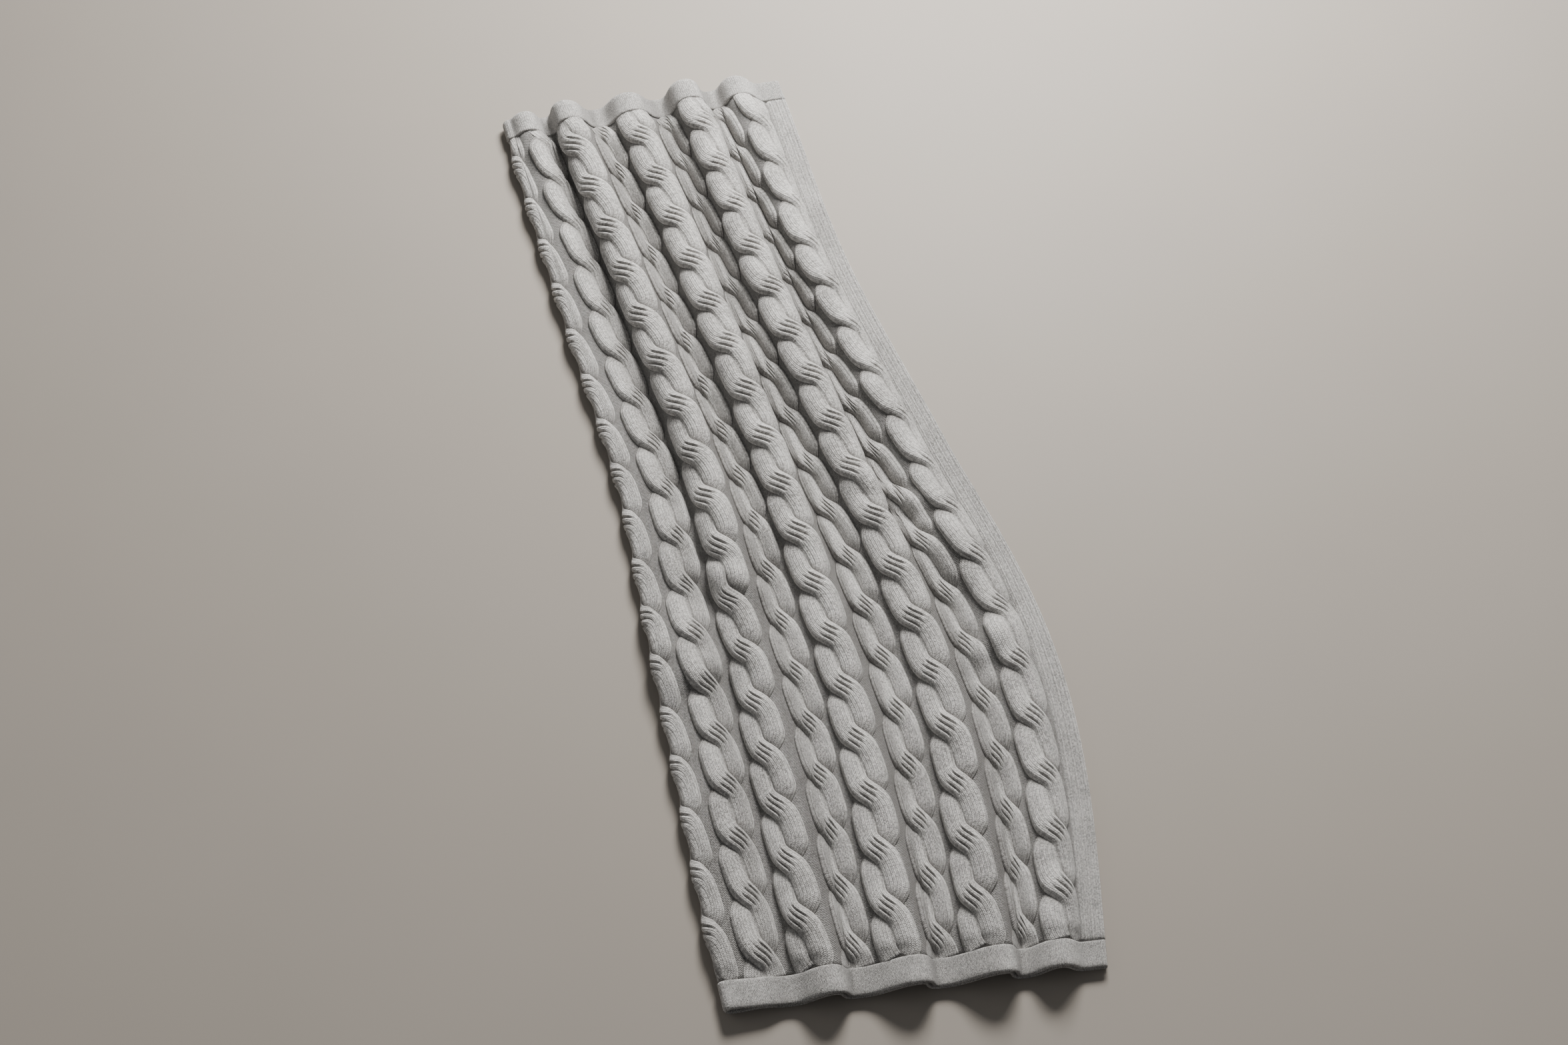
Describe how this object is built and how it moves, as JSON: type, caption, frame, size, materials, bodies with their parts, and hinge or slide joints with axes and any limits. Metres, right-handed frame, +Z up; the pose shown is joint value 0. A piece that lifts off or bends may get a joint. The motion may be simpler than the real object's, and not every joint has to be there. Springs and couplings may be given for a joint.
{
  "type": "cable knit throw",
  "caption": "Chunky cable-knit throw, folded in half lengthwise and laid out in soft uneven folds, with plain knitted bands at both ends.",
  "frame": {"origin": "centre of the bounding box on the floor that the throw lies on", "axes": "+Y along the throw from its near end to its far end, +X across it from the folded edge to the side bands, +Z up"},
  "size_m": [0.872, 1.801, 0.0749],
  "materials": {
    "knit": "soft heathered pale grey wool, chunky knit",
    "band_knit": "soft heathered pale grey wool, plain knit"
  },
  "bodies": {
    "root": {"cable_panel": "knit", "near_end_band": "band_knit", "far_end_band": "band_knit"}
  },
  "joints": []
}
